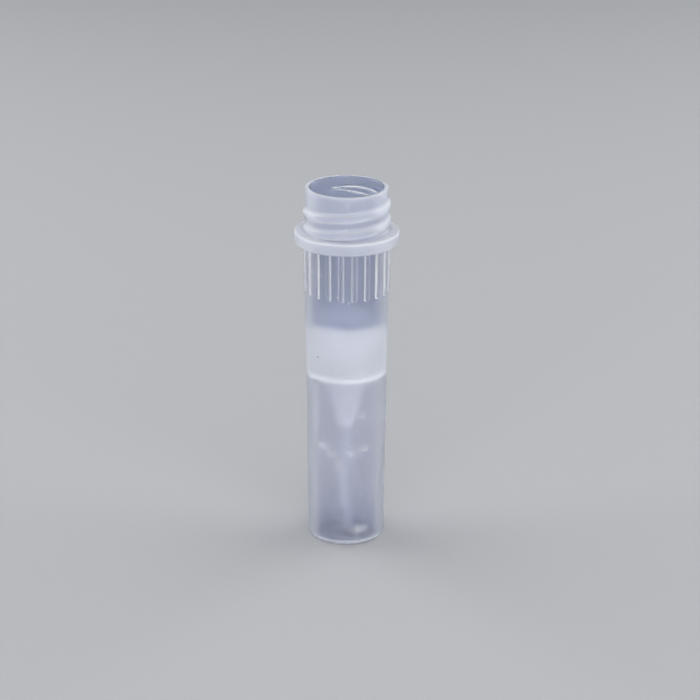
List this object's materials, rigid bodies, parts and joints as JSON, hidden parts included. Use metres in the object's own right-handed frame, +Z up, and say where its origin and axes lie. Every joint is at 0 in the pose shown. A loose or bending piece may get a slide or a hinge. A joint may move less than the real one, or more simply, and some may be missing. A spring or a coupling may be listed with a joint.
{
  "type": "cryovial",
  "caption": "Self-standing ribbed screw-neck cryovial of natural polypropylene with a conical chamber, a collar under the thread and an open skirt, without its cap.",
  "frame": {"origin": "centre of the foot ring, on the plane that the tube stands on", "axes": "+Z up the tube's axis and out of the open mouth; +X to the right of the view that shows the thread's upper end at the back left"},
  "size_m": [0.0128, 0.0128, 0.045],
  "materials": {
    "natural_polypropylene": "translucent satin"
  },
  "bodies": {
    "root": {"tube": "natural_polypropylene"}
  },
  "joints": []
}
